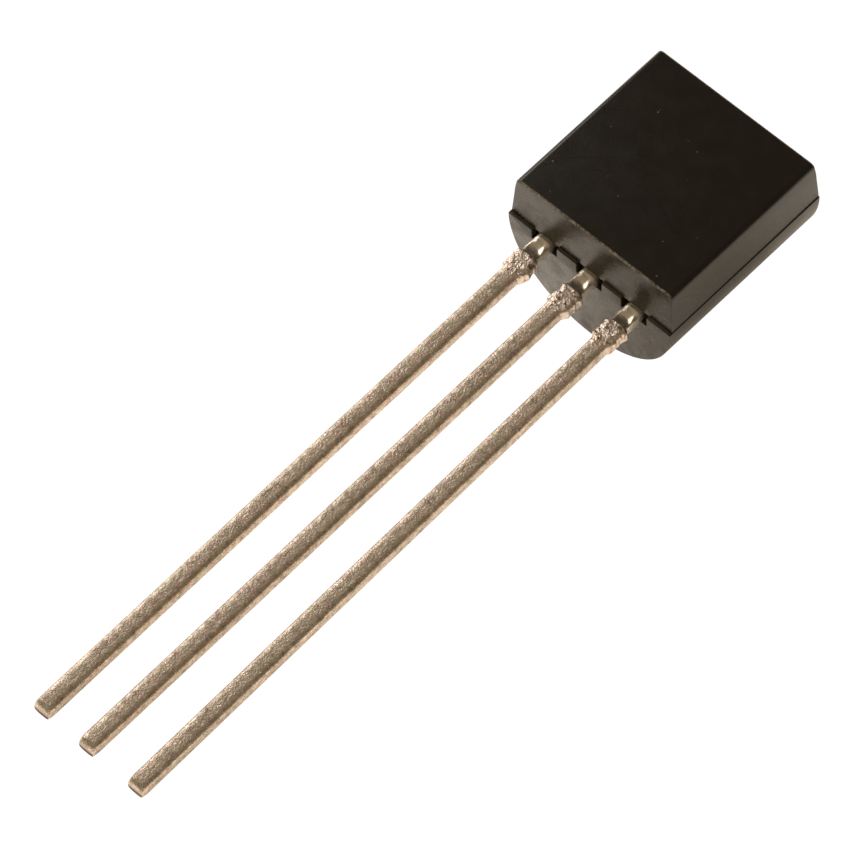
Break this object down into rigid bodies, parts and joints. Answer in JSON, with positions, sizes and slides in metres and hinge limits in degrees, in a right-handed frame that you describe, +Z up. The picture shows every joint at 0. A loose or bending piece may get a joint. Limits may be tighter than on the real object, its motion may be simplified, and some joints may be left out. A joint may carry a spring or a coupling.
{
  "type": "to-92 transistor",
  "caption": "Small three-lead transistor with a black moulded body, flat in front and half-round behind, and long straight tinned leads.",
  "frame": {"origin": "middle of the footprint, at the surface the part lies on", "axes": "+Z up from the surface, +Y from the lead tips to the top of the body, +X across the flat side towards the collector lead"},
  "size_m": [0.0046, 0.0198, 0.004],
  "materials": {
    "epoxy": "moulded filled epoxy, satin",
    "tinned_lead": "dull tin plating on drawn copper alloy strip",
    "die_bond": "silver-filled adhesive, matt",
    "silicon": "sawn silicon with a polished top",
    "gold_wire": "bare drawn gold"
  },
  "bodies": {
    "root": {"epoxy_body": "epoxy", "emitter_lead": "tinned_lead", "base_lead": "tinned_lead", "collector_lead": "tinned_lead", "die_attach": "die_bond", "silicon_die": "silicon", "base_bond_wire": "gold_wire", "emitter_bond_wire": "gold_wire"}
  },
  "joints": []
}
